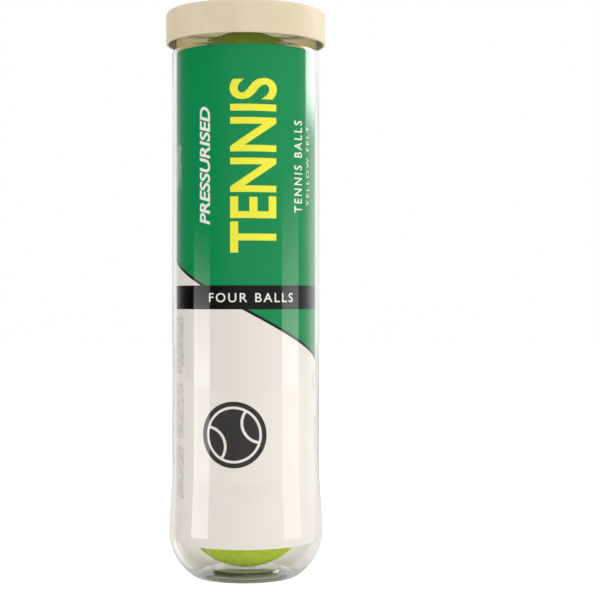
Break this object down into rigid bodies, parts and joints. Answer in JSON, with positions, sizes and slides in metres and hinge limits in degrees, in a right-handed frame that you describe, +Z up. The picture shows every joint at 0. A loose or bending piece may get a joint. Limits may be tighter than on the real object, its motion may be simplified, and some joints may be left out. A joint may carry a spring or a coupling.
{
  "type": "tennis ball can",
  "caption": "Tall clear can of felt-covered balls with a rolled label inside, a seamed metal ring-pull end and a push-on overcap.",
  "frame": {"origin": "on the can's axis, on the surface that its base stands on", "axes": "+Z up the can's axis, -Y towards the front of the label, +X to the label's right as it is read"},
  "size_m": [0.0784, 0.0784, 0.2762],
  "materials": {
    "clear_can": "gloss",
    "printed_film": "satin",
    "end_metal": "satin",
    "tab_metal": "satin",
    "sealing_compound": "matte",
    "cap_plastic": "satin",
    "core_rubber": "matte",
    "ball_felt": "matte",
    "seam_cement": "matte"
  },
  "bodies": {
    "can": {"can_body": "clear_can", "label_insert": "printed_film", "end_ring": "end_metal", "seam_compound": "sealing_compound"},
    "ball_4": {"ball_4_core_upper": "core_rubber", "ball_4_core_lower": "core_rubber", "ball_4_felt_a": "ball_felt", "ball_4_felt_b": "ball_felt", "ball_4_seam": "seam_cement"},
    "ball_3": {"ball_3_core_upper": "core_rubber", "ball_3_core_lower": "core_rubber", "ball_3_felt_a": "ball_felt", "ball_3_felt_b": "ball_felt", "ball_3_seam": "seam_cement"},
    "ball_2": {"ball_2_core_upper": "core_rubber", "ball_2_core_lower": "core_rubber", "ball_2_felt_a": "ball_felt", "ball_2_felt_b": "ball_felt", "ball_2_seam": "seam_cement"},
    "ball_1": {"ball_1_core_upper": "core_rubber", "ball_1_core_lower": "core_rubber", "ball_1_felt_a": "ball_felt", "ball_1_felt_b": "ball_felt", "ball_1_seam": "seam_cement"},
    "end_panel": {"tear_panel": "end_metal", "rivet_island": "tab_metal"},
    "tab": {"pull_tab": "tab_metal"},
    "cap": {"overcap": "cap_plastic"}
  },
  "joints": [
    {"name": "ball_4_lift", "type": "slide", "parent": "can", "child": "ball_4", "axis": [0, 0, 1], "range_m": [0, 0.278]},
    {"name": "ball_3_lift", "type": "slide", "parent": "ball_4", "child": "ball_3", "axis": [0, 0, 1], "range_m": [0, 0.212]},
    {"name": "ball_2_lift", "type": "slide", "parent": "ball_3", "child": "ball_2", "axis": [0, 0, 1], "range_m": [0, 0.146]},
    {"name": "ball_1_lift", "type": "slide", "parent": "ball_2", "child": "ball_1", "axis": [0, 0, 1], "range_m": [0, 0.08]},
    {"name": "panel_lift", "type": "slide", "parent": "ball_1", "child": "end_panel", "axis": [0, 0, 1], "range_m": [0, 0.03]},
    {"name": "cap_lift", "type": "slide", "parent": "end_panel", "child": "cap", "axis": [0, 0, 1], "range_m": [0, 0.06]},
    {"name": "tab_tilt", "type": "hinge", "parent": "end_panel", "child": "tab", "pos_m": [0, -0.0322, 0.269], "axis": [1, 0, 0], "range_deg": [0, 80]}
  ],
  "couplings": [
    {"joint": "tab_tilt", "follows": "cap_lift", "rad_per_m": 21.8}
  ]
}
